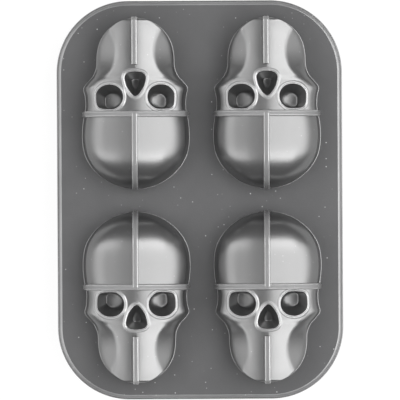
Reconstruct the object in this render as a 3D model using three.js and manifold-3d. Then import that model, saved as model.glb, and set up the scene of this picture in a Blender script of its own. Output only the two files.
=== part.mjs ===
// Skull ice mould: two silicone trays that close face to face round four skull cavities. The face
// tray lies on top with its faces up, and the back tray stands on its four fill spouts.
// Millimetres, +Z up, +Y towards the upper row of the tray, origin on the table under the middle.
import * as THREE from "three";
import { mergeVertices } from "three/addons/utils/BufferGeometryUtils.js";
import Module from "manifold-3d";

const wasm = await Module();
wasm.setup();

// Skulls and their places in the tray. The crowns of the two rows face each other.
const SKULL_WIDTH = 40.4; // outside, across the widest part of the cranium
const SKULL_LENGTH = 64.3; // outside, crown to chin
const COLUMN_GAP = 8.8; // between the two skulls of a row
const ROW_GAP = 8.5; // between the crowns of the two rows
const SIDE_MARGIN = 8.7; // skull to the tray's long edge
const END_MARGIN = 6.2; // chin to the tray's short edge
const SKULLS_X = 0.7; // the four skulls sit a little off the tray's middle
const SKULLS_Y = -0.12;

// Trays
const WALL = 2; // silicone wall of every shell, pit and post
const FACE_PLATE = 3; // thickness of the face tray's flat plate
const BACK_PLATE = 3;
const CORNER_RADIUS = 27;
const EDGE_RADIUS = 1.5; // rounding of the face plate's upper edge
const LIP = 0.5; // how far the back plate stands out past the face plate
const BEAD_WIDTH = 1.4; // sealing bead round each cavity, on the back plate
const BEAD_HEIGHT = 1.2;
const BEAD_OFFSET = 2; // cavity edge to the bead
const BEAD_CLEARANCE = 0.3; // between the bead and its groove in the face plate

// Relief of the shells above and below the plates
const FACE_RELIEF = 20.4; // the cranium's midline over the face plate
const BACK_RELIEF = 17;
const BACK_JAW_DROP = 5.5; // how much shallower the back is behind the jaw
const BROW_DROP = 0.4; // steps of the face's midline, from the cranium down to the chin
const CREASE_DROP = 0.15;
const JAW_DROP = 2.2;

// Places along the skull: v is 0 halfway, positive towards the crown
const BROW_V = 4;
const CREASE_V = -9.3;
const EYE_V = -2.35;
const NOSE_V = -7.2;
const CHIN_RIB_TOP_V = -14.4;
const SPOUT_V = 12;

// Ribs that stiffen the face shell
const RIB_WIDTH = 2.3;
const RIB_PROUD = 1.1;
const RIB_ROOT = 0.8; // how deep a rib or rim is rooted in the wall
const RIB_U = -0.3; // the lengthwise ribs run beside the midline

// Eye sockets and nose
const EYE_U = 9.6; // midline to the middle of the eye's opening
const EYE_WIDTH = 10.2;
const EYE_HEIGHT = 9.4;
const EYE_DEPTH = 9;
const EYE_FLOOR_WIDTH = 7;
const EYE_FLOOR_HEIGHT = 5.9;
const EYE_FLOOR_INWARD = 1.6; // the floor lies nearer the nose than the opening does
const EYE_FLOOR_UPWARD = 1.35;
const EYE_FLOOR_TILT = 20; // degrees, facing the temple
const NOSE_WIDTH = 8.1;
const NOSE_HEIGHT = 9.3;
const NOSE_DEPTH = 8;
const NOSE_FLOOR_SHARE = 0.4; // the pit's floor against its opening
const NOSE_FLOOR_TILT = 28; // degrees, facing the chin
const NOSE_PEAR = 0.5; // 0 is an ellipse, more is narrower at the top
const NOSE_ROUNDNESS = 0.85; // 1 is an ellipse, less is boxier
const RIM_WIDTH = 1;
const RIM_PROUD = 0.3;

// Roundness. A power of 2 is an ellipse, and a higher one is boxier.
const CROWN_END = { sharpness: 6, softness: 2.4 }; // how the midline rounds down at the crown
const CHIN_END = { sharpness: 120, softness: 2.6 };
const BACK_END = { sharpness: 3.2, softness: 2.2 };
const BACK_POWER = 2.6; // cross-section

// Cross-section of the cranium and the eyes: a keeled dome that bends over into a steep wall.
// Places across are shares of the half width.
const CRANIUM_KEEL = 0.16; // slope beside the midline
const DOME_DROP = 0.36; // share of its height that the dome loses on the way to the outline
const DOME_POWER = 4;
const EYES_DROP = 0.2; // the same over the eyes
const EYES_POWER = 8;
const SHOULDER = 0.915; // where the dome starts to bend into the wall
const WALL_START = 0.985;
const WALL_STEEPNESS = 8.5;

// Cross-section of the jaw: a low roof between two flat cheeks, with a steep edge
const ROOF_TOP_V = -4; // the roof's slope comes in between these two places
const ROOF_FULL_V = -16;
const ROOF_SLOPE = 0.05;
const ROOF_CURVE = 0.033;
const ROOF_STRAIGHT_U = 8; // the roof is straight from here out
const JAW_TOP_V = -8.2; // the cheeks come in between these two places
const JAW_FULL_V = -14;
const CHEEK_SLOPE = 0.54;
const CHEEK_U = 6.9; // where a cheek starts, at its narrowest place
const CHEEK_V = -19.5;
const CHEEK_BEND = 0.04; // how its edge curves away from the midline
const CHEEK_SHOULDER = 2.2;
const JAW_EDGE_POWER = 24;
const JAW_LEAST = 1.5;

// Fill spouts
const SPOUT_RADIUS = 8;
const SPOUT_HEIGHT = 3.5;
const THROAT_RADIUS = 4;
const MOUTH_RADIUS = 6;
const PAD_MARGIN = 0.5; // the shell's flat pad round the spout

// How full the skull's outline is against an ellipse of its length and width, from crown to chin
const FULLNESS = [
  [1, 1.26], [0.965, 1.26], [0.89, 1.258], [0.78, 1.243], [0.62, 1.197], [0.42, 1.1],
  [0.22, 1.007], [0.05, 0.936], [-0.08, 0.945], [-0.177, 0.986], [-0.25, 0.918], [-0.31, 0.843],
  [-0.42, 0.806], [-0.57, 0.873], [-0.71, 0.948], [-0.82, 0.992], [-0.9, 1.015], [-0.96, 1.015],
  [-1, 1],
];
const FACE_RINGS = [1, 0.985, 0.95, 0.91, 0.8, 0.64, 0.45, 0.24];
const BACK_RINGS = [1, 0.975, 0.87, 0.6];
const BOWL_RINGS = [1, 0.96, 0.85, 0.66, 0.4];
const STEPS = { opening: 16, corner: 7, edge: 3, round: 20, rib: 8 };

// Sizes that follow from the ones above
const halfLength = SKULL_LENGTH / 2;
const trayWidth = 2 * SKULL_WIDTH + COLUMN_GAP + 2 * SIDE_MARGIN;
const trayLength = 2 * SKULL_LENGTH + ROW_GAP + 2 * END_MARGIN;
const columnX = (SKULL_WIDTH + COLUMN_GAP) / 2;
const rowY = (SKULL_LENGTH + ROW_GAP) / 2;
const backPlateZ = SPOUT_HEIGHT + BACK_RELIEF; // under side of the back plate
const partingZ = backPlateZ + BACK_PLATE;
const facePlateTopZ = partingZ + FACE_PLATE;
const spare = 1; // how far cutting solids run past what they cut

// Small helpers
const clamp01 = (x) => Math.min(1, Math.max(0, x));

// 0 at `from`, 1 at `to`, with level ends; `to` may be the smaller of the two.
function smooth(from, to, x) {
  const t = clamp01((x - from) / (to - from));
  return t * t * (3 - 2 * t);
}

// The distance past a bend, whose slope eases from 0 at `from` to 1 at `to`.
function easedRun(from, to, x) {
  const t = clamp01((x - from) / (to - from));
  return (to - from) * (t ** 3 - t ** 4 / 2) + Math.max(0, x - to);
}

// A smooth function through [x, y] points whose x falls from one to the next.
function curveThrough(points) {
  const slopes = points.map((point, i) => {
    const before = points[Math.max(0, i - 1)];
    const after = points[Math.min(points.length - 1, i + 1)];
    return (after[1] - before[1]) / (after[0] - before[0]);
  });
  return (x) => {
    let i = 0;
    while (i < points.length - 2 && x < points[i + 1][0]) i += 1;
    const [[x0, y0], [x1, y1]] = [points[i], points[i + 1]];
    const span = x1 - x0;
    const t = clamp01((x - x0) / span);
    const rise = t * t * (3 - 2 * t);
    return (
      y0 + (y1 - y0) * rise +
      span * (slopes[i] * t * (1 - t) ** 2 - slopes[i + 1] * t * t * (1 - t))
    );
  };
}

const fullness = curveThrough(FULLNESS);

// Half the skull's outside width at the plate, at a place v along it.
function halfWidth(v) {
  const share = v / halfLength;
  return Math.sqrt(Math.max(0, 1 - share * share)) * (SKULL_WIDTH / 2) * fullness(share);
}

// The skull's outline at the plate as points [u, v], counter-clockwise from the crown.
function skullOutline() {
  const side = FULLNESS.map(([share]) => [halfWidth(share * halfLength), share * halfLength]);
  const left = side.map(([u, v]) => [-u, v]);
  const right = side.slice(1, -1).reverse();
  return [...left, ...right];
}

// A counter-clockwise loop moved outwards by a distance, or inwards if it is negative.
function offsetLoop(loop, distance) {
  return loop.map(([u, v], i) => {
    const before = loop[(i + loop.length - 1) % loop.length];
    const after = loop[(i + 1) % loop.length];
    const along = [after[0] - before[0], after[1] - before[1]];
    const length = Math.hypot(...along);
    return [u + (along[1] / length) * distance, v - (along[0] / length) * distance];
  });
}

// Height of a bulging cross-section: 1 on the midline and 0 at the outline.
function bulge(share, fullnessPower) {
  return Math.max(0, 1 - share ** fullnessPower) ** (1 / fullnessPower);
}

// How the midline rounds down to the plate at the crown or the chin.
function roundEnd(along, { sharpness, softness }) {
  return Math.max(0, 1 - along ** sharpness) ** (1 / softness);
}

// Height of the face shell above its plate, without ribs, rims and pits.
function faceHeight(u, v) {
  const along = Math.abs(v) / halfLength;
  const width = halfWidth(v);
  const side = Math.abs(u);
  if (along >= 1 || side >= width) return 0;
  const across = side / width;
  const end = roundEnd(along, v > 0 ? CROWN_END : CHIN_END);
  const onFace = smooth(BROW_V + 1, BROW_V - 1, v);
  const midline =
    FACE_RELIEF -
    BROW_DROP * onFace -
    CREASE_DROP * smooth(CREASE_V + 0.7, CREASE_V - 0.7, v) -
    JAW_DROP * smooth(CREASE_V, -halfLength, v);
  const bent = Math.min(side, ROOF_STRAIGHT_U);
  const roof = ROOF_SLOPE * side * smooth(ROOF_TOP_V, ROOF_FULL_V, v) +
    ROOF_CURVE * bent * (side - bent / 2);

  const wall = WALL_STEEPNESS * easedRun(SHOULDER, WALL_START, across);
  const drop = DOME_DROP * across ** DOME_POWER * (1 - onFace) +
    EYES_DROP * across ** EYES_POWER * onFace;
  const dome = midline * (1 - drop - wall);
  const upper = (dome - CRANIUM_KEEL * side * (1 - onFace) - roof * onFace) * end;

  const cheek = CHEEK_U + CHEEK_BEND * (v - CHEEK_V) ** 2;
  const bend = easedRun(cheek - CHEEK_SHOULDER / 2, cheek + CHEEK_SHOULDER / 2, side);
  const jaw = Math.max(JAW_LEAST, midline - roof - CHEEK_SLOPE * bend) *
    bulge(across, JAW_EDGE_POWER) * end;
  return Math.max(0, upper + (jaw - upper) * smooth(JAW_TOP_V, JAW_FULL_V, v));
}

// Depth of the back shell below its plate.
function backHeight(u, v) {
  const along = Math.abs(v) / halfLength;
  const width = halfWidth(v);
  if (along >= 1 || Math.abs(u) >= width) return 0;
  const midline = BACK_RELIEF - BACK_JAW_DROP * smooth(0, 2 * CREASE_V, v);
  return midline * roundEnd(along, BACK_END) * bulge(Math.abs(u) / width, BACK_POWER);
}

// The surface that lies one wall inside another: a ball of the wall's radius rolls under it.
function inside(height) {
  return (u, v) => {
    let lowest = height(u, v) - WALL;
    for (const share of [0.4, 0.75, 1]) {
      const reach = WALL * share;
      const drop = Math.sqrt(WALL * WALL - reach * reach);
      for (let step = 0; step < 16; step += 1) {
        const angle = (step / 16) * 2 * Math.PI;
        const there = height(u + reach * Math.cos(angle), v + reach * Math.sin(angle));
        lowest = Math.min(lowest, there - drop);
      }
    }
    return Math.max(0, lowest);
  };
}

// Geometry from vertex rows and triangles
function geometryOf(points, faces) {
  const geometry = new THREE.BufferGeometry();
  geometry.setAttribute("position", new THREE.Float32BufferAttribute(points.flat(), 3));
  geometry.setIndex(faces.flat());
  return geometry;
}

// A closed solid through stacked loops of equal length, counter-clockwise and from the bottom up.
// Each end closes on a point: the mean of its loop, or the one given.
function loft(loops, bottomPoint, topPoint) {
  const count = loops[0].length;
  const mean = (loop) =>
    [0, 1, 2].map((axis) => loop.reduce((sum, point) => sum + point[axis], 0) / count);
  const last = loops.length - 1;
  const points = [
    ...loops.flat(),
    bottomPoint ?? mean(loops[0]),
    topPoint ?? mean(loops[last]),
  ];
  const bottom = points.length - 2;
  const top = points.length - 1;
  const faces = [];
  for (let i = 0; i < count; i += 1) {
    const next = (i + 1) % count;
    faces.push([bottom, next, i], [top, last * count + i, last * count + next]);
    for (let row = 0; row < last; row += 1) {
      const [a, b] = [row * count + i, row * count + next];
      faces.push([a, b, b + count], [a, b + count, a + count]);
    }
  }
  return geometryOf(points, faces);
}

// A loop of [u, v] points at one height, or at the height that a function gives.
const atHeight = (loop, z) =>
  loop.map(([u, v]) => [u, v, typeof z === "function" ? z(u, v) : z]);

// A mound over an outline, from a flat foot up to height(u, v), on rings drawn in to the middle.
function mound(outline, rings, height, foot) {
  const loops = rings.map((share) =>
    atHeight(outline.map(([u, v]) => [u * share, v * share]), share === 1 ? 0 : height),
  );
  if (foot < 0) loops.unshift(atHeight(outline, foot));
  return solidOf(loft(loops, [0, 0, Math.min(0, foot)], [0, 0, height(0, 0)]));
}

// A band that follows a closed loop, between two offsets from it and two heights.
function band(loop, from, to, low, high) {
  const inner = offsetLoop(loop, from);
  const outer = offsetLoop(loop, to);
  const count = loop.length;
  const rows = [
    atHeight(outer, low),
    atHeight(outer, high),
    atHeight(inner, high),
    atHeight(inner, low),
  ];
  const faces = [];
  for (let row = 0; row < 4; row += 1) {
    for (let i = 0; i < count; i += 1) {
      const next = (i + 1) % count;
      const above = ((row + 1) % 4) * count;
      faces.push([row * count + i, row * count + next, above + next]);
      faces.push([row * count + i, above + next, above + i]);
    }
  }
  return solidOf(geometryOf(rows.flat(), faces));
}

// A flat plate or prism over a loop.
const prism = (loop, low, high) => solidOf(loft([atHeight(loop, low), atHeight(loop, high)]));

// Booleans
function solidOf(geometry) {
  const bare = geometry.clone();
  bare.deleteAttribute("normal");
  bare.deleteAttribute("uv");
  const merged = mergeVertices(bare, 1e-4);
  return new wasm.Manifold(new wasm.Mesh({
    numProp: 3,
    vertProperties: merged.attributes.position.array,
    triVerts: new Uint32Array(merged.index.array),
  }));
}

function meshOf(name, solid, material) {
  const { numProp, vertProperties, triVerts } = solid.getMesh();
  const points = [];
  for (let i = 0; i < vertProperties.length; i += numProp) {
    points.push([...vertProperties.slice(i, i + 3)]);
  }
  const mesh = new THREE.Mesh(geometryOf(points, [[...triVerts]]), material);
  mesh.geometry.computeVertexNormals();
  mesh.name = name;
  return mesh;
}

// The opening of an eye socket. Its upper outer corner is the squarest.
function eyeLoop(side, middle, width, height) {
  const loop = [];
  for (let i = 0; i < STEPS.opening; i += 1) {
    const angle = (i / STEPS.opening) * 2 * Math.PI;
    const corner = Math.max(0, Math.cos(angle - Math.PI / 4)) ** 2;
    const power = 2 / (2.1 + 1.7 * corner);
    const [c, s] = [Math.cos(angle), Math.sin(angle)];
    loop.push([
      side * (middle[0] + (width / 2) * Math.sign(c) * Math.abs(c) ** power),
      middle[1] + (height / 2) * Math.sign(s) * Math.abs(s) ** power,
    ]);
  }
  return side > 0 ? loop : loop.reverse();
}

// The opening of the nose, a pear that is narrow at the top.
function noseLoop(scale) {
  const loop = [];
  for (let i = 0; i < STEPS.opening; i += 1) {
    const angle = (i / STEPS.opening) * 2 * Math.PI;
    const [c, s] = [Math.cos(angle), Math.sin(angle)];
    const pear = (1 - NOSE_PEAR * s) / (1 + NOSE_PEAR / 4);
    const wide = (NOSE_WIDTH / 2) * Math.sign(c) * Math.abs(c) ** NOSE_ROUNDNESS * pear;
    const high = (NOSE_HEIGHT / 2) * Math.sign(s) * Math.abs(s) ** NOSE_ROUNDNESS;
    loop.push([scale * wide, NOSE_V + scale * high]);
  }
  return loop;
}

// A pit from above the face down to its floor, which tapers below the surface. It is grown by a
// wall where it is the post that the pit makes inside the cavity.
function pit(opening, floor, floorZ, grow) {
  return solidOf(loft([
    atHeight(offsetLoop(floor, grow), (u, v) => floorZ(u, v) - grow),
    atHeight(offsetLoop(opening, grow), faceHeight),
    atHeight(offsetLoop(opening, grow), FACE_RELIEF + WALL + spare),
  ]));
}

function eyePit(side, grow) {
  const surface = faceHeight(EYE_U, EYE_V);
  const floorMiddle = [EYE_U - EYE_FLOOR_INWARD, EYE_V + EYE_FLOOR_UPWARD];
  const tilt = Math.tan(THREE.MathUtils.degToRad(EYE_FLOOR_TILT));
  const floorZ = (u) => surface - EYE_DEPTH - (Math.abs(u) - floorMiddle[0]) * tilt;
  return pit(
    eyeLoop(side, [EYE_U, EYE_V], EYE_WIDTH, EYE_HEIGHT),
    eyeLoop(side, floorMiddle, EYE_FLOOR_WIDTH, EYE_FLOOR_HEIGHT),
    floorZ,
    grow,
  );
}

function nosePit(grow) {
  const tilt = Math.tan(THREE.MathUtils.degToRad(NOSE_FLOOR_TILT));
  const floorZ = (u, v) => faceHeight(0, NOSE_V) - NOSE_DEPTH + (v - NOSE_V) * tilt;
  return pit(noseLoop(1), noseLoop(NOSE_FLOOR_SHARE), floorZ, grow);
}

// A raised rim round an opening, rooted in the wall.
const rim = (opening) =>
  band(
    opening,
    -RIM_WIDTH / 2,
    RIM_WIDTH,
    (u, v) => faceHeight(u, v) - RIB_ROOT,
    (u, v) => faceHeight(u, v) + RIM_PROUD,
  );

// A rib over the face along one line: `reach` is how far the face runs along it, and `from` and
// `to` say where it starts and ends. A rib that runs to the edge wraps over it down to the plate.
function rib(heightAlong, reach, from, to) {
  const edge = (length, grow) => Math.min(length, reach) * ((reach + grow) / reach);
  const sample = (grow, lift) => {
    const points = [];
    for (let i = 0; i <= STEPS.rib; i += 1) {
      const share = i / STEPS.rib;
      const s = Math.sin(((share * 2 - 1) * Math.PI) / 2);
      const place = (from + to) / 2 + ((to - from) / 2) * s;
      points.push([
        Math.sign(place) * edge(Math.abs(place), grow),
        Math.max(0, heightAlong(place) + lift),
      ]);
    }
    return points;
  };
  const top = sample(RIB_PROUD, RIB_PROUD);
  const under = sample(-RIB_ROOT, -RIB_ROOT).reverse();
  const wraps = (place) => Math.abs(place) >= reach;
  const path = [
    ...(wraps(from) ? [[top[0][0], 0]] : []),
    ...top,
    ...(wraps(to) ? [[top[STEPS.rib][0], 0]] : []),
    ...under,
  ];
  const outline = new THREE.Shape();
  path.forEach(([x, y], i) => (i ? outline.lineTo(x, y) : outline.moveTo(x, y)));
  const geometry = new THREE.ExtrudeGeometry(outline, { depth: RIB_WIDTH, bevelEnabled: false });
  geometry.translate(0, 0, -RIB_WIDTH / 2);
  return geometry;
}

// The rib across the brow, the one over the crown and the one down the chin.
function ribs() {
  const across = rib((u) => faceHeight(u, BROW_V), halfWidth(BROW_V), -halfWidth(BROW_V),
    halfWidth(BROW_V));
  across.rotateX(Math.PI / 2);
  across.translate(0, BROW_V, 0);
  const lengthwise = (from, to) => {
    const geometry = rib((v) => faceHeight(RIB_U, v), halfLength, from, to);
    geometry.rotateX(Math.PI / 2);
    geometry.rotateZ(Math.PI / 2);
    geometry.translate(RIB_U, 0, 0);
    return geometry;
  };
  return [across, lengthwise(BROW_V, halfLength), lengthwise(-halfLength, CHIN_RIB_TOP_V)]
    .map(solidOf)
    .reduce((sum, one) => sum.add(one));
}

// One face, standing on the face plate: its wall follows the relief, pits and all.
function faceShell(outline) {
  const sides = [-1, 1];
  const outer = sides.reduce(
    (sum, side) => sum.add(rim(eyeLoop(side, [EYE_U, EYE_V], EYE_WIDTH, EYE_HEIGHT))),
    mound(outline, FACE_RINGS, faceHeight, 0).add(ribs()).add(rim(noseLoop(1))),
  );
  const pits = sides.reduce((sum, side) => sum.add(eyePit(side, 0)), nosePit(0));
  const posts = sides.reduce((sum, side) => sum.add(eyePit(side, WALL)), nosePit(WALL));
  const bowl = mound(offsetLoop(outline, -WALL), BOWL_RINGS, inside(faceHeight), -spare);
  return outer.subtract(pits).subtract(bowl.subtract(posts));
}

// One back of a head, hanging under the back plate, with a flat pad for its spout.
function backShell(outline) {
  const cylinder = (radius, low, high) => {
    const geometry = new THREE.CylinderGeometry(radius, radius, high - low, STEPS.round);
    geometry.rotateX(Math.PI / 2);
    geometry.translate(0, SPOUT_V, (low + high) / 2);
    return solidOf(geometry);
  };
  const dome = mound(outline, BACK_RINGS, backHeight, 0);
  const bowl = mound(offsetLoop(outline, -WALL), BOWL_RINGS, inside(backHeight), -spare);
  const pad = cylinder(SPOUT_RADIUS + PAD_MARGIN, BACK_RELIEF - 2 * WALL, BACK_RELIEF);
  const throat = cylinder(THROAT_RADIUS, 0, BACK_RELIEF + spare);
  return dome.add(pad).subtract(bowl).subtract(throat);
}

// The collar that the water is poured through, and that the mould stands on.
function spout() {
  const flare = MOUTH_RADIUS - THROAT_RADIUS;
  const profile = [
    [THROAT_RADIUS, 0],
    [THROAT_RADIUS, SPOUT_HEIGHT - flare],
    [MOUTH_RADIUS, SPOUT_HEIGHT],
    [SPOUT_RADIUS, SPOUT_HEIGHT],
    [SPOUT_RADIUS, 0],
    [THROAT_RADIUS, 0],
  ].map(([r, z]) => new THREE.Vector2(r, -z));
  const geometry = new THREE.LatheGeometry(profile, STEPS.round);
  geometry.rotateX(Math.PI / 2);
  return solidOf(geometry);
}

const CORNERS = [[1, 1], [-1, 1], [-1, -1], [1, -1]];

// The tray's outline drawn in by an inset, counter-clockwise.
function trayLoop(inset) {
  const radius = CORNER_RADIUS - inset;
  const loop = [];
  for (let corner = 0; corner < 4; corner += 1) {
    const [signX, signY] = CORNERS[corner];
    for (let i = 0; i <= STEPS.corner; i += 1) {
      const angle = (corner + i / STEPS.corner) * (Math.PI / 2);
      loop.push([
        signX * (trayWidth / 2 - CORNER_RADIUS) + radius * Math.cos(angle),
        signY * (trayLength / 2 - CORNER_RADIUS) + radius * Math.sin(angle),
      ]);
    }
  }
  return loop;
}

// The four places of the skulls. The upper row is the lower row's mirror image.
const PLACES = [
  { name: "lower_left", x: SKULLS_X - columnX, y: SKULLS_Y - rowY, mirrored: false },
  { name: "lower_right", x: SKULLS_X + columnX, y: SKULLS_Y - rowY, mirrored: false },
  { name: "upper_left", x: SKULLS_X - columnX, y: SKULLS_Y + rowY, mirrored: true },
  { name: "upper_right", x: SKULLS_X + columnX, y: SKULLS_Y + rowY, mirrored: true },
];

// A loop that is the same on its left and right, moved to its place in the tray.
const placed = (loop, { x, y, mirrored }) =>
  loop.map(([u, v]) => (mirrored ? [x - u, y - v] : [x + u, y + v]));

// The face tray's plate, from the parting plane up, with the grooves for the sealing beads.
function facePlate(cavity) {
  const edge = Math.min(EDGE_RADIUS, FACE_PLATE / 2);
  const loops = [atHeight(trayLoop(LIP), 0)];
  for (let i = 0; i <= STEPS.edge; i += 1) {
    const angle = (i / STEPS.edge) * (Math.PI / 2);
    const inset = LIP + edge * (1 - Math.cos(angle));
    loops.push(atHeight(trayLoop(inset), FACE_PLATE - edge * (1 - Math.sin(angle))));
  }
  const from = BEAD_OFFSET - BEAD_CLEARANCE;
  const to = BEAD_OFFSET + BEAD_WIDTH + BEAD_CLEARANCE;
  return PLACES.reduce((plate, place) => {
    const loop = placed(cavity, place);
    return plate
      .subtract(prism(loop, -spare, FACE_PLATE + spare))
      .subtract(band(loop, from, to, -spare, BEAD_HEIGHT + BEAD_CLEARANCE));
  }, solidOf(loft(loops)));
}

// The back tray's plate, up to the parting plane.
const backPlate = (cavity) =>
  PLACES.reduce(
    (plate, place) => plate.subtract(prism(placed(cavity, place), -BACK_PLATE - spare, spare)),
    prism(trayLoop(0), -BACK_PLATE, 0),
  );

const silicone = new THREE.MeshStandardMaterial({
  color: new THREE.Color(0.133, 0.133, 0.135),
  roughness: 0.45,
  metalness: 0,
});

// The mould
const outline = skullOutline();
const cavity = offsetLoop(outline, -WALL);
const faceTray = new THREE.Group();
const backTray = new THREE.Group();

const facePlateMesh = meshOf("face_tray_plate", facePlate(cavity), silicone);
facePlateMesh.position.z = partingZ;
faceTray.add(facePlateMesh);

const backPlateMesh = meshOf("back_tray_plate", backPlate(cavity), silicone);
backPlateMesh.position.z = partingZ;
backTray.add(backPlateMesh);

const shapes = {
  face: faceShell(outline),
  bead: band(cavity, BEAD_OFFSET, BEAD_OFFSET + BEAD_WIDTH, 0, BEAD_HEIGHT),
  back: backShell(outline).mirror([0, 0, 1]),
  spout: spout(),
};

for (const { name, x, y, mirrored } of PLACES) {
  const add = (tray, part, shape, z, v = 0) => {
    const solid = mirrored ? shape.mirror([0, 1, 0]) : shape;
    const mesh = meshOf(part + "_" + name, solid, silicone);
    mesh.position.set(x, y + (mirrored ? -v : v), z);
    tray.add(mesh);
  };
  add(faceTray, "face_shell", shapes.face, facePlateTopZ);
  add(backTray, "sealing_bead", shapes.bead, partingZ);
  add(backTray, "back_shell", shapes.back, backPlateZ);
  add(backTray, "fill_spout", shapes.spout, backPlateZ - BACK_RELIEF, SPOUT_V);
}

const group = new THREE.Group();
group.add(faceTray, backTray);

export default group;
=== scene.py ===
import math

import bmesh
import bpy
import numpy as np
from mathutils import Matrix, Vector


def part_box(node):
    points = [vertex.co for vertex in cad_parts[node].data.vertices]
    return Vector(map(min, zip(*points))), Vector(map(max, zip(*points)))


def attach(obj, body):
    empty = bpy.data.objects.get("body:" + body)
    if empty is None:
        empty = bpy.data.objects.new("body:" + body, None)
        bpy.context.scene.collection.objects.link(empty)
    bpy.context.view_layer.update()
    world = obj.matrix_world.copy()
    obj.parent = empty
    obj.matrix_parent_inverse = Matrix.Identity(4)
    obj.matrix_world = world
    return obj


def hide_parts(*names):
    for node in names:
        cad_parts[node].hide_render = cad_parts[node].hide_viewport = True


# Skull ice mould: two trays of dark grey silicone, closed, seen straight from above.
# Shapes are worked out in millimetres, as in the frame's source, and made in metres.
MM = 0.001
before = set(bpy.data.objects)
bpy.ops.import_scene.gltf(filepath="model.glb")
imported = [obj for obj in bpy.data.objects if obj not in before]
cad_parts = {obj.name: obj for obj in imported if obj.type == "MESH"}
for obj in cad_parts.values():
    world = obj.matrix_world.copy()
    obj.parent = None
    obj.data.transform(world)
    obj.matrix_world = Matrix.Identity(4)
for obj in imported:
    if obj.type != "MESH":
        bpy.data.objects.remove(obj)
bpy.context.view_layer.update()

# The skull's sizes, as in the part's source
SKULL_WIDTH = 40.4
SKULL_LENGTH = 64.3
HALF_LENGTH = SKULL_LENGTH / 2
WALL = 2.0
FACE_RELIEF = 20.4
BACK_RELIEF = 17.0
BACK_JAW_DROP = 5.5
BROW_DROP = 0.4
CREASE_DROP = 0.15
JAW_DROP = 2.2
BROW_V = 4.0
CREASE_V = -9.3
JAW_TOP_V = -8.2
JAW_FULL_V = -14.0
EYE_V = -2.35
NOSE_V = -7.2
CHIN_RIB_TOP_V = -14.4
SPOUT_V = 12.0
RIB_WIDTH = 2.3
RIB_PROUD = 1.1
RIB_ROOT = 0.8
RIB_U = -0.3
EYE_U = 9.6
EYE_WIDTH = 10.2
EYE_HEIGHT = 9.4
EYE_DEPTH = 9.0
EYE_FLOOR_WIDTH = 7.0
EYE_FLOOR_HEIGHT = 5.9
EYE_FLOOR_INWARD = 1.6
EYE_FLOOR_UPWARD = 1.35
EYE_FLOOR_TILT = 20.0
NOSE_WIDTH = 8.1
NOSE_HEIGHT = 9.3
NOSE_DEPTH = 8.0
NOSE_FLOOR_SHARE = 0.4
NOSE_FLOOR_TILT = 28.0
NOSE_PEAR = 0.5
NOSE_ROUNDNESS = 0.85
CROWN_END = (6.0, 2.4)
CHIN_END = (120.0, 2.6)
BACK_END = (3.2, 2.2)
BACK_POWER = 2.6
EYE_BASE_POWER = 2.1
EYE_CORNER_POWER = 1.7

# Sections across the face: a dome with a shoulder and a steep wall, and a jaw like a roof
BROW_BLEND = 1.0
CREASE_BLEND = 0.7
CRANIUM_KEEL = 0.16
DOME_DROP = 0.36
DOME_POWER = 4.0
EYES_DROP = 0.2
EYES_POWER = 8.0
SHOULDER = 0.915
WALL_START = 0.985
WALL_STEEPNESS = 8.5
ROOF_TOP_V = -4.0
ROOF_FULL_V = -16.0
ROOF_SLOPE = 0.05
ROOF_CURVE = 0.033
ROOF_STRAIGHT_U = 8.0
JAW_FACET = 0.54
JAW_FACET_U = 6.9
JAW_FACET_V = -19.5
JAW_FACET_BEND = 0.04
JAW_SHOULDER = 2.2
JAW_EDGE_POWER = 24.0
JAW_LEAST = 1.5

# The outline's fullness against an ellipse, from the crown (1) to the chin (-1)
FULLNESS = [
    (1, 1.26), (0.965, 1.26), (0.89, 1.258), (0.78, 1.243), (0.62, 1.197), (0.42, 1.1),
    (0.22, 1.007), (0.05, 0.936), (-0.08, 0.945), (-0.177, 0.986), (-0.25, 0.918),
    (-0.31, 0.843), (-0.42, 0.806), (-0.57, 0.873), (-0.71, 0.948), (-0.82, 0.992),
    (-0.9, 1.015), (-0.96, 1.015), (-1, 1),
]

# Trays
CORNER_RADIUS = 27.0
EDGE_RADIUS = 1.5
LIP = 0.5
BEAD_WIDTH = 1.4
BEAD_HEIGHT = 1.2
BEAD_OFFSET = 2.0
BEAD_CLEARANCE = 0.3
SPOUT_RADIUS = 8.0
THROAT_RADIUS = 4.0
MOUTH_RADIUS = 6.0
PAD_MARGIN = 0.5

# Finishing, for the render only. The rounding of an eye's floor tightens by FLOOR_TIGHTNESS over
# TIGHT_U. Where the face's edge turns down, each rib keeps its own share of its height.
RIM_WIDTH = 1.25
RIM_PROUD = 0.22
RIM_OVERLAP = 0.05
FOOT_RADIUS = 0.35
FOOT_STEP = 0.01
RIB_EDGE_RADIUS = 0.55
RIB_CROWN = 0.03
RIB_FULL_UP = 0.6
BROW_RIB_SHARE = 0.75
CROWN_RIB_SHARE = 0.4
CHIN_RIB_SHARE = 0.1
LIP_RADIUS = 0.4
EYE_FLOOR_RADIUS = 1.1
NOSE_FLOOR_RADIUS = 0.25
FLOOR_TIGHTNESS = 0.75
TIGHT_U = (EYE_U - 4, EYE_U + 0.5)
SPOUT_EDGE_RADIUS = 0.5

# Mesh densities
OUTLINE_STEPS = 280
DOME_RINGS = 110
BOWL_RINGS = 44
LAST_RING = 0.9995
ROLL_SHARES = (0.4, 0.75, 1.0)
ROLL_STEPS = 16
OPENING_STEPS = 72
PIT_FLOOR_RING = 0.9
PIT_BEND_POINTS = 7
PIT_WALL_POINTS = 8
RIM_POINTS = 13
RIM_ROOTS = (0.9, 0.1)
RIB_SAMPLES = 400
RIB_STEPS = 110
FLARE_STEPS = 5
FILLET_POINTS = 6
LIP_POINTS = 5
EDGE_POINTS = 9
BEAD_POINTS = 9
CORNER_STEPS = 40
ROUND_STEPS = 96
SMOOTH_ANGLE = 38

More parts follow.
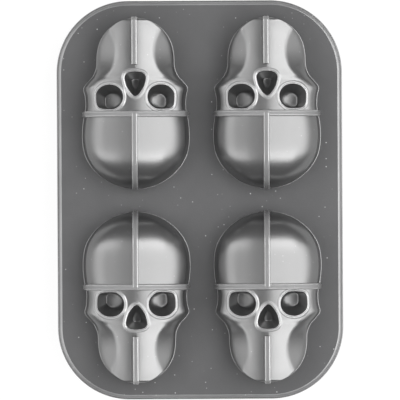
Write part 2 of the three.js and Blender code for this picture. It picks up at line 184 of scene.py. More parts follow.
# How far cutters reach past what they cut, and guards at the outline's ends
SPARE = 1.0
LEAST_WIDTH = 1e-6
WITHIN = 0.99999

# Faces of a plate whose normal rises by between these two are its rounded edge, which gets a
# painted highlight
EDGE_LEAST = 0.02
EDGE_MOST = 0.99

# Places in SHELL_MATERIALS: painted sheen for the rib tops, and a painted highlight for the ribs'
# rounded edges and the rims
RIB_TOP_PAINTED_SHEEN = 1
PAINTED_EDGE_HIGHLIGHT = 2


def smooth(start, end, x):
    """0 at start, 1 at end, with level ends; end may be the smaller of the two."""
    t = np.clip((x - start) / (end - start), 0, 1)
    return t * t * (3 - 2 * t)


def eased_run(start, end, x):
    """The distance past a bend: its slope eases from 0 at start to 1 at end."""
    t = np.clip((x - start) / (end - start), 0, 1)
    return (end - start) * (t**3 - t**4 / 2) + np.maximum(0, x - end)


def curve_through(points):
    """A smooth function through points whose x falls from one to the next."""
    x, y = np.array(points, dtype=float)[::-1].T
    before = np.maximum(np.arange(len(x)) - 1, 0)
    after = np.minimum(np.arange(len(x)) + 1, len(x) - 1)
    slope = (y[after] - y[before]) / (x[after] - x[before])

    def curve(at):
        i = np.clip(np.searchsorted(x, at) - 1, 0, len(x) - 2)
        span = x[i + 1] - x[i]
        t = np.clip((at - x[i]) / span, 0, 1)
        rise = t * t * (3 - 2 * t)
        lean = slope[i] * t * (1 - t) ** 2 - slope[i + 1] * t * t * (1 - t)
        return y[i] + (y[i + 1] - y[i]) * rise + span * lean

    return curve


fullness = curve_through(FULLNESS)


def half_width(v):
    share = np.clip(np.asarray(v, dtype=float) / HALF_LENGTH, -1, 1)
    return np.sqrt(1 - share**2) * SKULL_WIDTH / 2 * fullness(share)


def turns(count):
    """Angles in even steps round a full turn."""
    return np.arange(count) / count * 2 * math.pi


def skull_outline():
    """The outline at the plate, counter-clockwise from the crown."""
    turn = turns(OUTLINE_STEPS)
    v = HALF_LENGTH * np.cos(turn)
    return np.stack([-np.sign(np.sin(turn)) * half_width(v), v], axis=1)


def offset_loop(loop, distance):
    """A counter-clockwise loop moved outwards, or inwards if the distance is negative."""
    along = np.roll(loop, -1, axis=0) - np.roll(loop, 1, axis=0)
    along /= np.linalg.norm(along, axis=1, keepdims=True)
    return loop + np.stack([along[:, 1], -along[:, 0]], axis=1) * distance


def bulge(share, power):
    return np.maximum(0, 1 - share**power) ** (1 / power)


def round_end(along, end):
    sharpness, softness = end
    return np.maximum(0, 1 - along**sharpness) ** (1 / softness)


def face_height(u, v):
    """Height of the face shell above its plate, without ribs, rims and pits."""
    u, v = np.abs(np.asarray(u, dtype=float)), np.asarray(v, dtype=float)
    along = np.clip(np.abs(v) / HALF_LENGTH, 0, 1)
    width = np.maximum(half_width(v), LEAST_WIDTH)
    across = np.clip(u / width, 0, 1)
    end = np.where(v > 0, round_end(along, CROWN_END), round_end(along, CHIN_END))
    on_face = smooth(BROW_V + BROW_BLEND, BROW_V - BROW_BLEND, v)
    midline = (
        FACE_RELIEF
        - BROW_DROP * on_face
        - CREASE_DROP * smooth(CREASE_V + CREASE_BLEND, CREASE_V - CREASE_BLEND, v)
        - JAW_DROP * smooth(CREASE_V, -HALF_LENGTH, v)
    )
    bent = np.minimum(u, ROOF_STRAIGHT_U)
    lean = ROOF_SLOPE * u * smooth(ROOF_TOP_V, ROOF_FULL_V, v)
    roof = lean + ROOF_CURVE * bent * (u - bent / 2)

    wall = WALL_STEEPNESS * eased_run(SHOULDER, WALL_START, across)
    dome_drop = DOME_DROP * across**DOME_POWER * (1 - on_face)
    drop = dome_drop + EYES_DROP * across**EYES_POWER * on_face
    dome = midline * (1 - drop - wall)
    keel = CRANIUM_KEEL * u * (1 - on_face) + roof * on_face
    upper = (dome - keel) * end

    facet = JAW_FACET_U + JAW_FACET_BEND * (v - JAW_FACET_V) ** 2
    bend = eased_run(facet - JAW_SHOULDER / 2, facet + JAW_SHOULDER / 2, u)
    jaw = np.maximum(JAW_LEAST, midline - roof - JAW_FACET * bend)
    jaw = jaw * bulge(across, JAW_EDGE_POWER) * end

    height = upper + (jaw - upper) * smooth(JAW_TOP_V, JAW_FULL_V, v)
    return np.where(u >= width, 0, np.maximum(0, height))


def back_height(u, v):
    """Depth of the back shell below its plate."""
    u, v = np.abs(np.asarray(u, dtype=float)), np.asarray(v, dtype=float)
    along = np.clip(np.abs(v) / HALF_LENGTH, 0, 1)
    width = np.maximum(half_width(v), LEAST_WIDTH)
    midline = BACK_RELIEF - BACK_JAW_DROP * smooth(0, 2 * CREASE_V, v)
    height = midline * round_end(along, BACK_END) * bulge(np.clip(u / width, 0, 1), BACK_POWER)
    return np.where(u >= width, 0, height)


def inside(height):
    """The surface one wall inside another: a ball of the wall's radius rolls under it."""

    def lower(u, v):
        lowest = height(u, v) - WALL
        for share in ROLL_SHARES:
            reach = WALL * share
            drop = math.sqrt(WALL**2 - reach**2)
            for angle in turns(ROLL_STEPS):
                there = height(u + reach * math.cos(angle), v + reach * math.sin(angle))
                lowest = np.minimum(lowest, there - drop)
        return np.maximum(0, lowest)

    return lower


# Meshes
def at_height(loop, z):
    """A loop of points in a plane as points in space, at one height or at z(u, v)."""
    z = z(loop[:, 0], loop[:, 1]) if callable(z) else np.full(len(loop), float(z))
    return np.column_stack([loop, z])


def object_of(name, points, faces):
    """A closed mesh with its faces outwards."""
    mesh = bpy.data.meshes.new(name)
    mesh.from_pydata([tuple(p) for p in np.asarray(points, dtype=float) * MM], [], faces)
    form = bmesh.new()
    form.from_mesh(mesh)
    bmesh.ops.recalc_face_normals(form, faces=form.faces)
    form.to_mesh(mesh)
    form.free()
    obj = bpy.data.objects.new(name, mesh)
    bpy.context.scene.collection.objects.link(obj)
    return obj


def loft(name, loops, bottom=None, top=None):
    """A closed solid through stacked loops of equal length, each end closed on a point."""
    loops = [np.asarray(loop, dtype=float) for loop in loops]
    count, last = len(loops[0]), len(loops) - 1
    bottom = loops[0].mean(axis=0) if bottom is None else np.array(bottom, dtype=float)
    top = loops[last].mean(axis=0) if top is None else np.array(top, dtype=float)
    points = np.vstack([*loops, bottom, top])
    low, high = len(points) - 2, len(points) - 1
    faces = []
    for i in range(count):
        nxt = (i + 1) % count
        faces.append((low, nxt, i))
        faces.append((high, last * count + i, last * count + nxt))
        for row in range(last):
            a, b = row * count + i, row * count + nxt
            faces.append((a, b, b + count, a + count))
    return object_of(name, points, faces)


def ring_sweep(name, sections):
    """A closed ring: `sections` holds, row by row, one loop for each point of its section."""
    rows = [np.asarray(row, dtype=float) for row in sections]
    count, depth = len(rows[0]), len(rows)
    faces = []
    for row in range(depth):
        above = (row + 1) % depth
        for i in range(count):
            nxt = (i + 1) % count
            faces.append(
                (row * count + i, row * count + nxt, above * count + nxt, above * count + i)
            )
    return object_of(name, np.vstack(rows), faces)


def mound(name, outline, shares, height, foot, foot_radius=0.0):
    """A solid over an outline from a flat foot up to height(u, v), with a flared foot."""
    loops = []
    if foot < 0:
        loops.append(at_height(outline, foot))
    if foot_radius:
        for step in range(FLARE_STEPS):
            angle = step / FLARE_STEPS * math.pi / 2
            flare = foot_radius * (1 - math.sin(angle))
            z = foot_radius * (1 - math.cos(angle))
            loops.append(at_height(offset_loop(outline, flare), z))
        loops.append(at_height(outline, foot_radius))
    else:
        loops.append(at_height(outline, 0))
    for share in shares:
        loop = outline * share
        z = np.maximum(height(loop[:, 0], loop[:, 1]), foot_radius + FOOT_STEP)
        loops.append(np.column_stack([loop, z]))
    middle = float(height(np.zeros(1), np.zeros(1))[0])
    return loft(name, loops, (0, 0, min(0, foot)), (0, 0, middle))


def ring_shares(count):
    """Shares of the outline from the edge to the middle, closer together near the edge."""
    steps = (1 - np.arange(1, count) / count) * math.pi / 2
    return np.sin(steps)[np.sin(steps) < LAST_RING]


def combine(target, operation, *others):
    """Cuts or joins other solids into the target, which keeps the result as its mesh."""
    for other in others:
        modifier = target.modifiers.new("join", "BOOLEAN")
        modifier.operation = operation
        modifier.solver = "MANIFOLD"
        modifier.object = other
        graph = bpy.context.evaluated_depsgraph_get()
        mesh = bpy.data.meshes.new_from_object(target.evaluated_get(graph))
        target.modifiers.clear()
        target.data = mesh
        bpy.data.objects.remove(other)
    return target


def give_materials(obj, *materials):
    obj.data.materials.clear()
    for material in materials:
        obj.data.materials.append(material)


def paint(obj, indices):
    """Sets which of its materials each face has."""
    obj.data.polygons.foreach_set("material_index", np.asarray(indices, dtype=np.int32))


# Openings of the face
def eye_loop(side, middle, width, height):
    """The opening of an eye socket. Its upper outer corner is the squarest."""
    angle = turns(OPENING_STEPS)
    corner = np.maximum(0, np.cos(angle - math.pi / 4)) ** 2
    power = 2 / (EYE_BASE_POWER + EYE_CORNER_POWER * corner)
    c, s = np.cos(angle), np.sin(angle)
    loop = np.column_stack([
        side * (middle[0] + width / 2 * np.sign(c) * np.abs(c) ** power),
        middle[1] + height / 2 * np.sign(s) * np.abs(s) ** power,
    ])
    return loop if side > 0 else loop[::-1]


def nose_loop(scale):
    """The opening of the nose, a pear that is narrow at the top."""
    angle = turns(OPENING_STEPS)
    c, s = np.cos(angle), np.sin(angle)
    pear = (1 - NOSE_PEAR * s) / (1 + NOSE_PEAR / 4)
    return np.column_stack([
        NOSE_WIDTH / 2 * scale * np.sign(c) * np.abs(c) ** NOSE_ROUNDNESS * pear,
        NOSE_V + NOSE_HEIGHT / 2 * scale * np.sign(s) * np.abs(s) ** NOSE_ROUNDNESS,
    ])


def pit(name, opening, floor, floor_z, grow, floor_radius):
    """A pit that tapers from the face to its floor, or with grow the post that it makes inside."""
    low = at_height(offset_loop(floor, grow), lambda u, v: floor_z(u, v) - grow)
    mouth = at_height(offset_loop(opening, grow), face_height)
    top = at_height(offset_loop(opening, grow), FACE_RELIEF + WALL + SPARE)
    # The floor rounds into the pit's wall, widely at the nose's side and tightly at the temple.
    inward = low.mean(axis=0) - low
    upward = mouth - low
    inward /= np.linalg.norm(inward, axis=1, keepdims=True)
    upward /= np.linalg.norm(upward, axis=1, keepdims=True)
    tight = smooth(*TIGHT_U, np.abs(low[:, :1]))
    reach = 2 * floor_radius * (1 - FLOOR_TIGHTNESS * tight)
    bend = [
        low + inward * reach * (1 - t) ** 2 + upward * reach * t**2
        for t in np.linspace(0, 1, PIT_BEND_POINTS)
    ]
    wall = [
        bend[-1] + (mouth - bend[-1]) * share
        for share in np.linspace(0, 1, PIT_WALL_POINTS)[1:]
    ]
    middle = bend[0].mean(axis=0)
    return loft(name, [middle + (bend[0] - middle) * PIT_FLOOR_RING, *bend, *wall, top])


def eye_pit(side, grow):
    surface = float(face_height(EYE_U, EYE_V))
    middle = (EYE_U - EYE_FLOOR_INWARD, EYE_V + EYE_FLOOR_UPWARD)
    tilt = math.tan(math.radians(EYE_FLOOR_TILT))
    return pit(
        "eye_pit",
        eye_loop(side, (EYE_U, EYE_V), EYE_WIDTH, EYE_HEIGHT),
        eye_loop(side, middle, EYE_FLOOR_WIDTH, EYE_FLOOR_HEIGHT),
        lambda u, v: surface - EYE_DEPTH - (np.abs(u) - middle[0]) * tilt,
        grow,
        EYE_FLOOR_RADIUS,
    )


def nose_pit(grow):
    surface = float(face_height(0, NOSE_V))
    tilt = math.tan(math.radians(NOSE_FLOOR_TILT))
    return pit(
        "nose_pit",
        nose_loop(1),
        nose_loop(NOSE_FLOOR_SHARE),
        lambda u, v: surface - NOSE_DEPTH + (v - NOSE_V) * tilt,
        grow,
        NOSE_FLOOR_RADIUS,
    )


def rim(opening):
    """A rounded bead round an opening, rooted in the wall. Its pale colour is a painted highlight.
    """
    rows = []
    for share in np.linspace(0, 1, RIM_POINTS):
        loop = offset_loop(opening, RIM_WIDTH * share - RIM_OVERLAP)
        rise = RIM_PROUD * math.sin(math.pi * share) ** 2
        rows.append(at_height(loop, lambda u, v: face_height(u, v) + rise))
    for share in RIM_ROOTS:
        loop = offset_loop(opening, RIM_WIDTH * share)
        rows.append(at_height(loop, lambda u, v: face_height(u, v) - RIB_ROOT))
    solid = ring_sweep("rim", rows)
    give_materials(solid, *SHELL_MATERIALS)
    # The whole bead gets the pale material: a painted highlight round the opening.
    paint(solid, [PAINTED_EDGE_HIGHLIGHT] * len(solid.data.polygons))
    return solid


def rib(name, path, place_in_space, edge_share):
    """A rib along a path, as wide as RIB_WIDTH, with rounded edges and a slightly crowned top.

    The path holds the place along the rib, the height there, and the face's outward normal as
    its share along the rib and its share upwards. place_in_space turns (place, side, height)
    into a point. Where the rib wraps over the face's edge, edge_share of its height is left.
    """
    half, r = RIB_WIDTH / 2, RIB_EDGE_RADIUS
    turn = np.linspace(0, math.pi / 2, FILLET_POINTS)
    right = np.column_stack([half - r + r * np.cos(turn), RIB_PROUD - r + r * np.sin(turn)])
    left = right[::-1] * (-1, 1)
    section = np.vstack([(-half, -RIB_ROOT), (half, -RIB_ROOT), right, (0, RIB_PROUD), left])
    section[2:, 1] -= RIB_CROWN * (section[2:, 0] / half) ** 2
    top_strips = (1 + len(right), 2 + len(right))
    loops = []
    for place, height, along, up in path:
        kept = edge_share + (1 - edge_share) * float(smooth(0, RIB_FULL_UP, up))
        loops.append([
            place_in_space(place + along * lift, side, height + up * lift)
            for side, lift in section * (1, kept)
        ])
    solid = loft(name, loops)
    give_materials(solid, *SHELL_MATERIALS)
    # loft() makes the faces side by side, and of each side the two ends come first. The top strips
    # get a lighter colour as painted sheen, the rest of the rounded edges a paler one as a painted
    # highlight. The root, the flanks and the ends stay as dark as the shell.
    side, row = np.divmod(np.arange(len(solid.data.polygons)), len(loops) + 1)
    rounded = (row > 1) & (side > 1) & (side < len(section) - 1)
    paint(solid, np.where(np.isin(side, top_strips), RIB_TOP_PAINTED_SHEEN, PAINTED_EDGE_HIGHLIGHT) * rounded)
    return solid


def rib_path(height_at, start, end, reach):
    """Points and normals along the face from start to end; at an edge it runs to the plate."""
    swing = np.sin(np.linspace(-1, 1, RIB_SAMPLES) * math.pi / 2)
    place = (start + end) / 2 + (end - start) / 2 * swing
    place = np.clip(place, -reach * WITHIN, reach * WITHIN)
    points = np.column_stack([place, height_at(place)])
    if abs(start) >= reach:
        points = np.vstack([[math.copysign(reach, start), 0], points])
    if abs(end) >= reach:
        points = np.vstack([points, [math.copysign(reach, end), 0]])
    length = np.append(0, np.cumsum(np.linalg.norm(np.diff(points, axis=0), axis=1)))
    even = np.linspace(0, length[-1], RIB_STEPS)
    points = np.column_stack([np.interp(even, length, points[:, k]) for k in (0, 1)])
    along = np.gradient(points, axis=0)
    along /= np.linalg.norm(along, axis=1, keepdims=True)
    return np.column_stack([points, -along[:, 1], along[:, 0]])


def ribs():
    """The rib across the brow, the one over the crown and the one down the chin."""
    wide = float(half_width(BROW_V))
    brow = rib(
        "brow_rib",
        rib_path(lambda u: face_height(u, np.full_like(u, BROW_V)), -wide, wide, wide),
        lambda place, side, height: (place, BROW_V - side, height),
        BROW_RIB_SHARE,
    )
    lengthwise = [
        rib(
            name,
            rib_path(lambda v: face_height(np.full_like(v, RIB_U), v), start, end, HALF_LENGTH),
            lambda place, side, height: (RIB_U + side, place, height),
            edge_share,
        )
        for name, start, end, edge_share in (
            ("crown_rib", BROW_V, HALF_LENGTH, CROWN_RIB_SHARE),
            ("chin_rib", -HALF_LENGTH, CHIN_RIB_TOP_V, CHIN_RIB_SHARE),
        )
    ]
    return [brow, *lengthwise]


# Whole pieces, each made once about its own skull
def face_shell():
    """One face, standing on the face plate: its wall follows the relief, pits and all."""
    outline = skull_outline()
    foot = offset_loop(outline, -FOOT_RADIUS)
    shell = mound("face_shell", foot, ring_shares(DOME_RINGS), face_height, 0, FOOT_RADIUS)
    give_materials(shell, *SHELL_MATERIALS)
    combine(shell, "UNION", *ribs())
    combine(shell, "DIFFERENCE", eye_pit(-1, 0), eye_pit(1, 0), nose_pit(0))
    eyes = [eye_loop(side, (EYE_U, EYE_V), EYE_WIDTH, EYE_HEIGHT) for side in (-1, 1)]
    combine(shell, "UNION", *[rim(opening) for opening in (*eyes, nose_loop(1))])
    shares = np.append(1, ring_shares(BOWL_RINGS))
    bowl = mound("bowl", offset_loop(outline, -WALL), shares, inside(face_height), -SPARE)
    combine(bowl, "DIFFERENCE", eye_pit(-1, WALL), eye_pit(1, WALL), nose_pit(WALL))
    combine(shell, "DIFFERENCE", bowl)
    return shell


def circle(radius, middle):
    turn = turns(ROUND_STEPS)
    return np.column_stack([np.cos(turn), np.sin(turn)]) * radius + middle


def prism(name, loop, low, high):
    return loft(name, [at_height(loop, low), at_height(loop, high)])


def lathe(name, profile, middle):
    """A ring turned from a closed profile of (radius, height) points about a vertical axis."""
    return ring_sweep(name, [at_height(circle(r, middle), z) for r, z in profile])


def back_shell():
    """One back of a head, hanging under the back plate, with a flat pad for its spout."""
    outline = skull_outline()
    foot = offset_loop(outline, -FOOT_RADIUS)
    shell = mound("back_shell", foot, ring_shares(DOME_RINGS // 2), back_height, 0, FOOT_RADIUS)
    middle = (0, SPOUT_V)
    pad = circle(SPOUT_RADIUS + PAD_MARGIN, middle)
    combine(shell, "UNION", prism("pad", pad, BACK_RELIEF - 2 * WALL, BACK_RELIEF))
    shares = np.append(1, ring_shares(BOWL_RINGS))
    bowl = mound("bowl", offset_loop(outline, -WALL), shares, inside(back_height), -SPARE)
    throat = prism("throat", circle(THROAT_RADIUS, middle), 0, BACK_RELIEF + SPARE)
    combine(shell, "DIFFERENCE", bowl, throat)
    shell.data.transform(Matrix.Diagonal((1, 1, -1, 1)))
    shell.data.flip_normals()
    return shell


def fill_spout():
    """The collar that the water is poured through, with a flared mouth, standing on z = 0."""
    r = SPOUT_EDGE_RADIUS
    flare = MOUTH_RADIUS - THROAT_RADIUS
    turn = np.linspace(0, math.pi / 2, FILLET_POINTS)
    outer = [(SPOUT_RADIUS - r + r * math.sin(a), r - r * math.cos(a)) for a in turn]
    mouth = [(THROAT_RADIUS + flare * math.cos(a), flare * math.sin(a)) for a in turn]
    top = [(SPOUT_RADIUS, SPOUT_HEIGHT), (THROAT_RADIUS, SPOUT_HEIGHT)]
    return lathe("fill_spout", [*outer, *top, *mouth[::-1]], (0, SPOUT_V))


def sealing_bead():
    """The raised bead round one cavity, with a rounded top."""
    cavity = offset_loop(skull_outline(), -WALL)
    half = BEAD_WIDTH / 2
    rows = [at_height(offset_loop(cavity, BEAD_OFFSET + shift), 0) for shift in (0, BEAD_WIDTH)]
    for angle in np.linspace(0, math.pi, BEAD_POINTS):
        loop = offset_loop(cavity, BEAD_OFFSET + half + half * math.cos(angle))
        rows.append(at_height(loop, BEAD_HEIGHT - half + half * math.sin(angle)))
    return ring_sweep("sealing_bead", rows)


# Plates
def tray_loop(width, length, inset):
    """The tray's outline drawn in by an inset, counter-clockwise."""
    radius = CORNER_RADIUS - inset
    loop = []
    for quarter, (sign_x, sign_y) in enumerate([(1, 1), (-1, 1), (-1, -1), (1, -1)]):
        turn = (quarter + np.linspace(0, 1, CORNER_STEPS)) * math.pi / 2
        loop.append(np.column_stack([
            sign_x * (width / 2 - CORNER_RADIUS) + radius * np.cos(turn),
            sign_y * (length / 2 - CORNER_RADIUS) + radius * np.sin(turn),
        ]))
    return np.vstack(loop)


def rounded_plate(name, width, length, inset, thickness, radius, low_radius=0.0):
    """A flat plate from z = 0 up, with its upper and lower edges rounded."""
    loops = []
    if low_radius:
        for angle in np.linspace(0, math.pi / 2, LIP_POINTS):
            drawn_in = inset + low_radius * (1 - math.sin(angle))
            height = low_radius * (1 - math.cos(angle))
            loops.append(at_height(tray_loop(width, length, drawn_in), height))
    else:
        loops.append(at_height(tray_loop(width, length, inset), 0))
    for angle in np.linspace(0, math.pi / 2, EDGE_POINTS):
        drawn_in = inset + radius * (1 - math.cos(angle))
        height = thickness - radius * (1 - math.sin(angle))
        loops.append(at_height(tray_loop(width, length, drawn_in), height))
    return loft(name, loops)


def band(name, loop, start, end, low, high):
    """A flat ring between two offsets of a loop."""
    inner, outer = offset_loop(loop, start), offset_loop(loop, end)
    rows = [(outer, low), (outer, high), (inner, high), (inner, low)]
    return ring_sweep(name, [at_height(each, z) for each, z in rows])


def placed(loop, place):
    """A skull's loop at its place. Its two sides are alike, so half a turn mirrors it."""
    return (place["x"], place["y"]) + (-loop if place["mirrored"] else loop)


def give_edge_highlight(plate):
    """The plate's rounded edge gets a lighter, glossier material of its own: a painted highlight.
    """
    give_materials(plate, PLATE_SILICONE, EDGE_PAINTED_HIGHLIGHT)
    normal = np.empty(len(plate.data.polygons) * 3)
    plate.data.polygons.foreach_get("normal", normal)
    upward = normal[2::3]
    paint(plate, (upward > EDGE_LEAST) & (upward < EDGE_MOST))


def face_plate(width, length, places):
    """The face tray's plate, with grooves under it for the sealing beads."""
    plate = rounded_plate("face_plate", width, length, LIP, FACE_PLATE, EDGE_RADIUS)
    cavity = offset_loop(skull_outline(), -WALL)
    start = BEAD_OFFSET - BEAD_CLEARANCE
    end = BEAD_OFFSET + BEAD_WIDTH + BEAD_CLEARANCE
    for place in places:
        loop = placed(cavity, place)
        groove = band("groove", loop, start, end, -SPARE, BEAD_HEIGHT + BEAD_CLEARANCE)
        combine(plate, "DIFFERENCE", prism("hole", loop, -SPARE, FACE_PLATE + SPARE), groove)
    give_edge_highlight(plate)
    return plate


def back_plate(width, length, places):
    """The back tray's plate, up to the parting plane."""
    plate = rounded_plate("back_plate", width, length, 0, BACK_PLATE, LIP_RADIUS, LIP_RADIUS)
    cavity = offset_loop(skull_outline(), -WALL)
    for place in places:
        hole = prism("hole", placed(cavity, place), -SPARE, BACK_PLATE + SPARE)
        combine(plate, "DIFFERENCE", hole)
    give_edge_highlight(plate)
    return plate


# Materials. Their noises run over object coordinates, so the scales are per metre.
NOISE_ROUGHNESS = 0.6
NOISE_SPAN = (0.3, 0.7)
CLOUD_SCALE = 60.0
CLOUD_DETAIL = 4.0
GRAIN_SCALE = 1400.0
GRAIN_DETAIL = 2.0
GRAIN_DEPTH = 0.00005
DUST_CELLS = 420.0
DUST_DOT = (0.05, 0.12)
DUST_LEAST = 0.4
DUST_COLOUR = (0.5, 0.5, 0.5)
FLOOR_GREY = (0.85, 0.85, 0.85, 1)
FLOOR_WHITENESS = 0.9
FLOOR_GLOSS = 0.5


def material_nodes(name):
    material = bpy.data.materials.new(name)
    material.use_nodes = True
    nodes, links = material.node_tree.nodes, material.node_tree.links
    nodes.clear()
    return material, nodes, links


def noise(nodes, links, place, scale, detail):
    texture = nodes.new("ShaderNodeTexNoise")
    texture.inputs["Scale"].default_value = scale
    texture.inputs["Detail"].default_value = detail
    texture.inputs["Roughness"].default_value = NOISE_ROUGHNESS
    links.new(place, texture.inputs["Vector"])
    return texture.outputs["Fac"]


def ramp(nodes, links, value, span, start, end):
    """A value between the two of a span as a value between start and end."""
    node = nodes.new("ShaderNodeMapRange")
    for socket, number in zip(("From Min", "From Max", "To Min", "To Max"), (*span, start, end)):
        node.inputs[socket].default_value = number
    links.new(value, node.inputs["Value"])
    return node.outputs["Result"]


def mix_colour(nodes, links, share, first, second):
    """A mix of two colours: inputs 6 and 7 of the node are its colours, output 2 the mix."""
    node = nodes.new("ShaderNodeMix")
    node.data_type = "RGBA"
    links.new(share, node.inputs["Factor"])
    for socket, colour in ((node.inputs[6], first), (node.inputs[7], second)):
        if isinstance(colour, tuple):
            socket.default_value = (*colour, 1)
        else:
            links.new(colour, socket)
    return node.outputs[2]


def maths(nodes, links, operation, first, second):
    """A maths node of a socket and a second socket or a number."""
    node = nodes.new("ShaderNodeMath")
    node.operation = operation
    links.new(first, node.inputs[0])
    if isinstance(second, float):
        node.inputs[1].default_value = second
    else:
        links.new(second, node.inputs[1])
    return node.outputs[0]


def silicone(name, dark, light, roughness, ior, specular, dust, grain):
    """Grey silicone: cloudy colour, fine grain in its gloss, and specks of clinging dust."""
    material, nodes, links = material_nodes(name)
    output = nodes.new("ShaderNodeOutputMaterial")
    shader = nodes.new("ShaderNodeBsdfPrincipled")
    place = nodes.new("ShaderNodeTexCoord").outputs["Object"]
    cloud = noise(nodes, links, place, CLOUD_SCALE, CLOUD_DETAIL)
    fine = noise(nodes, links, place, GRAIN_SCALE, GRAIN_DETAIL)
    body = mix_colour(nodes, links, ramp(nodes, links, cloud, NOISE_SPAN, 0, 1), dark, light)

    # Specks: a small dot in some cells, brighter in some than in others
    cells = nodes.new("ShaderNodeTexVoronoi")
    cells.inputs["Scale"].default_value = DUST_CELLS
    links.new(place, cells.inputs["Vector"])
    dots = ramp(nodes, links, cells.outputs["Distance"], DUST_DOT, 1, 0)
    chance = nodes.new("ShaderNodeSeparateColor")
    links.new(cells.outputs["Color"], chance.inputs["Color"])
    chosen = ramp(nodes, links, chance.outputs["Red"], (DUST_LEAST, 1), 0, dust)
    specks = maths(nodes, links, "MULTIPLY", dots, chosen)
    colour = mix_colour(nodes, links, specks, body, DUST_COLOUR)
    links.new(colour, shader.inputs["Base Color"])

    gloss = ramp(nodes, links, fine, NOISE_SPAN, *roughness)
    links.new(gloss, shader.inputs["Roughness"])
    shader.inputs["IOR"].default_value = ior
    shader.inputs["Specular IOR Level"].default_value = specular

    bump = nodes.new("ShaderNodeBump")
    bump.inputs["Strength"].default_value = grain
    bump.inputs["Distance"].default_value = GRAIN_DEPTH
    links.new(fine, bump.inputs["Height"])
    links.new(bump.outputs["Normal"], shader.inputs["Normal"])
    links.new(shader.outputs["BSDF"], output.inputs["Surface"])
    return material


def pale_floor():
    """A floor that takes the object's shadow, white to the camera and dimmer in reflections."""
    material, nodes, links = material_nodes("pale_floor")
    output = nodes.new("ShaderNodeOutputMaterial")
    matte = nodes.new("ShaderNodeBsdfDiffuse")
    matte.inputs["Color"].default_value = FLOOR_GREY
    white = nodes.new("ShaderNodeEmission")
    path = nodes.new("ShaderNodeLightPath").outputs
    strength = maths(nodes, links, "MAXIMUM", path["Is Camera Ray"], FLOOR_GLOSS)
    links.new(strength, white.inputs["Strength"])
    seen = maths(nodes, links, "MAXIMUM", path["Is Camera Ray"], path["Is Glossy Ray"])
    seen = maths(nodes, links, "MAXIMUM", seen, path["Is Transmission Ray"])
    mixed = nodes.new("ShaderNodeMixShader")
    share = maths(nodes, links, "MULTIPLY", seen, FLOOR_WHITENESS)
    links.new(share, mixed.inputs["Fac"])
    links.new(matte.outputs["BSDF"], mixed.inputs[1])
    links.new(white.outputs["Emission"], mixed.inputs[2])
    links.new(mixed.outputs["Shader"], output.inputs["Surface"])
    return material


PLATE_SILICONE = silicone(
    "plate_silicone",
    dark=(0.059, 0.059, 0.0605),
    light=(0.068, 0.068, 0.0695),
    roughness=(0.5, 0.6),
    ior=1.41,
    specular=0.4,
    dust=0.8,
    grain=0.5,
)
SHELL_SILICONE = silicone(
    "shell_silicone",
    dark=(0.027, 0.027, 0.0275),
    light=(0.035, 0.035, 0.0355),
    roughness=(0.28, 0.32),
    ior=2.0,
    specular=1.0,
    dust=0.3,
    grain=0.015,
)
# Painted highlight: the plates' rounded edges are coloured lighter than the plate itself.
EDGE_PAINTED_HIGHLIGHT = silicone(
    "edge_painted_highlight",
    dark=(0.08, 0.08, 0.0815),
    light=(0.13, 0.13, 0.132),
    roughness=(0.4, 0.5),
    ior=2.0,
    specular=1.0,
    dust=0.9,
    grain=0.6,
)
# Painted sheen: the rib tops' lighter colour stands in for the light they reflect.
RIB_PAINTED_SHEEN = silicone(
    "rib_painted_sheen",
    dark=(0.105, 0.105, 0.106),
    light=(0.13, 0.13, 0.131),
    roughness=(0.45, 0.55),
    ior=1.7,
    specular=0.6,
    dust=0.3,
    grain=0.3,
)
# Painted highlight: the paler colour of the ribs' rounded edges and of the rims round the eyes and
# nose.
RIB_PAINTED_HIGHLIGHT = silicone(
    "rib_edge_painted_highlight",
    dark=(0.165, 0.165, 0.166),
    light=(0.195, 0.195, 0.196),
    roughness=(0.22, 0.26),
    ior=2.0,
    specular=1.0,
    dust=0.3,
    grain=0.1,
)
SHELL_MATERIALS = (SHELL_SILICONE, RIB_PAINTED_SHEEN, RIB_PAINTED_HIGHLIGHT)


# Placing: each piece stands for one node of the frame
def show(piece, node, body, material):
    piece.name = "fine_" + node
    if piece.data.materials:
        piece.data.materials[0] = material
    else:
        piece.data.materials.append(material)
    piece.data.shade_smooth()
    piece.data.set_sharp_from_angle(angle=math.radians(SMOOTH_ANGLE))
    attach(piece, body)
    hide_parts(node)


def put(shape, place, z):
    """A copy of a shape, moved into its place in the tray."""
    piece = bpy.data.objects.new(shape.name, shape.data.copy())
    bpy.context.scene.collection.objects.link(piece)
    if place["mirrored"]:
        piece.data.transform(Matrix.Diagonal((1, -1, 1, 1)))
        piece.data.flip_normals()
    piece.data.transform(Matrix.Translation(Vector((place["x"] * MM, place["y"] * MM, z))))
    return piece


# The skulls' places, in millimetres. The upper row is the lower one mirrored.
PLACES = []
for row in ("lower", "upper"):
    for column in ("left", "right"):
        low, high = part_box(f"sealing_bead_{row}_{column}")
        PLACES.append({
            "name": f"{row}_{column}",
            "x": (low.x + high.x) / 2 / MM,
            "y": (low.y + high.y) / 2 / MM,
            "mirrored": row == "upper",
        })

plate_low, plate_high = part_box("face_tray_plate")
back_low, back_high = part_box("back_tray_plate")
FACE_PLATE = (plate_high.z - plate_low.z) / MM
BACK_PLATE = (back_high.z - back_low.z) / MM
SPOUT_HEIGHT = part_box("fill_spout_lower_left")[1].z / MM
TRAY_WIDTH = (back_high.x - back_low.x) / MM
TRAY_LENGTH = (back_high.y - back_low.y) / MM

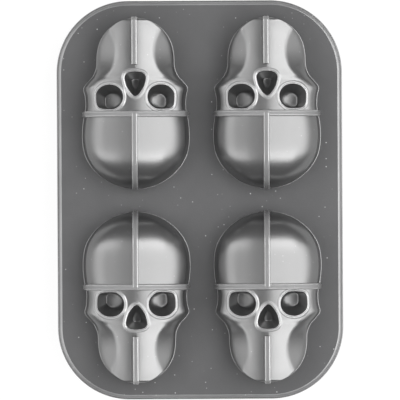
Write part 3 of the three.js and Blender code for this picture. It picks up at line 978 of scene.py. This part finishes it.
# The shape about its own skull, the height it starts from, its body, slot and material
shapes = {
    "face_shell": (face_shell(), plate_high.z, "face_tray", "silicone_shell", SHELL_SILICONE),
    "back_shell": (back_shell(), back_low.z, "back_tray", "silicone_shell", SHELL_SILICONE),
    "fill_spout": (fill_spout(), 0, "back_tray", "silicone_shell", SHELL_SILICONE),
    "sealing_bead": (sealing_bead(), back_high.z, "back_tray", "silicone_plate", PLATE_SILICONE),
}
for part, (shape, height, body, slot, material) in shapes.items():
    for place in PLACES:
        show(put(shape, place, height), f"{part}_{place['name']}", body, material)
    bpy.data.objects.remove(shape)

for node, build, height, body in (
    ("face_tray_plate", face_plate, plate_low.z, "face_tray"),
    ("back_tray_plate", back_plate, back_low.z, "back_tray"),
):
    piece = build(TRAY_WIDTH, TRAY_LENGTH, PLACES)
    piece.data.transform(Matrix.Translation(Vector((0, 0, height))))
    show(piece, node, body, PLATE_SILICONE)


# Stage, in metres and degrees, with the camera's lens and sensor in millimetres
FLOOR_REACH = 40.0
LIGHT_DISTANCE = 3.0
FLANK_SHIFT = 0.33
WORLD_LIGHT = 0.11
CAMERA_LENS = 960
CAMERA_SENSOR = 36
CAMERA_FAR = 100
CAMERA_PLACE = (0.00004, -0.00007)
CAMERA_ABOVE_PLATE = 4
CAMERA_ROLL = -0.33

floor_mesh = bpy.data.meshes.new("floor")
corners = [(x * FLOOR_REACH, y * FLOOR_REACH, 0) for x, y in ((-1, -1), (1, -1), (1, 1), (-1, 1))]
floor_mesh.from_pydata(corners, [], [(0, 1, 2, 3)])
floor_mesh.materials.append(pale_floor())
floor = bpy.data.objects.new("floor", floor_mesh)
bpy.context.scene.collection.objects.link(floor)


def softbox(name, azimuth, low, high, spread, radiance, shift=0.0):
    """A soft light aimed at the mould, between two elevations, hidden from the camera.

    spread is its half width and shift its move sideways, as shares of its distance. Its power
    follows from how bright its face is. Azimuth 0 is at the photo's right, 180 at its left.
    """
    elevation = math.radians((low + high) / 2)
    height = 2 * LIGHT_DISTANCE * math.tan(math.radians(high - low) / 2)
    width = 2 * LIGHT_DISTANCE * spread
    light = bpy.data.lights.new(name, "AREA")
    light.shape = "RECTANGLE"
    light.size, light.size_y = width, height
    light.energy = radiance * math.pi * width * height
    lamp = bpy.data.objects.new(name, light)
    bpy.context.scene.collection.objects.link(lamp)
    a = math.radians(azimuth)
    level = math.cos(elevation)
    toward = Vector((math.cos(a) * level, math.sin(a) * level, math.sin(elevation)))
    sideways = Vector((-math.sin(a), math.cos(a), 0))
    lamp.location = (toward + sideways * shift) * LIGHT_DISTANCE
    lamp.rotation_euler = toward.to_track_quat("Z", "Y").to_euler()
    lamp.visible_camera = False
    return lamp


softbox("right_upper_softbox", 0, 42, 85, 0.2, 2.25)
softbox("right_lower_softbox", 0, 20, 42, 0.36, 2.7)
softbox("right_low_softbox", 0, 10, 20, 0.3, 1.5)
softbox("right_lowest_softbox", 0, 2, 10, 0.3, 0.5)
softbox("left_upper_softbox", 180, 38, 73, 0.2, 0.75)
softbox("left_lower_softbox", 180, 12, 38, 0.2, 1.45)
softbox("left_lowest_softbox", 180, 2, 12, 0.3, 0.95)
for side in (-1, 1):
    softbox("right_flank", 0, 42, 82, 0.13, 4.6, side * FLANK_SHIFT)
    softbox("left_flank", 180, 12, 68, 0.13, 2.4, side * FLANK_SHIFT)
fill = softbox("overhead_fill", 0, 50, 130, 0.85, 2.2)
fill.visible_glossy = False

# The world is white to the camera and lights the mould only a little.
world = bpy.data.worlds.new("studio")
bpy.context.scene.world = world
world.use_nodes = True
nodes, links = world.node_tree.nodes, world.node_tree.links
background = nodes["Background"]
background.inputs["Color"].default_value = (1, 1, 1, 1)
path = nodes.new("ShaderNodeLightPath").outputs
brightness = maths(nodes, links, "MAXIMUM", path["Is Camera Ray"], WORLD_LIGHT)
links.new(brightness, background.inputs["Strength"])

camera_data = bpy.data.cameras.new("camera")
camera_data.lens = CAMERA_LENS
camera_data.sensor_width = CAMERA_SENSOR
camera_data.clip_end = CAMERA_FAR
camera = bpy.data.objects.new("camera", camera_data)
bpy.context.scene.collection.objects.link(camera)
camera.location = (*CAMERA_PLACE, plate_high.z + CAMERA_ABOVE_PLATE)
camera.rotation_euler.z = math.radians(CAMERA_ROLL)
bpy.context.scene.camera = camera

bpy.context.scene.view_settings.view_transform = "Standard"
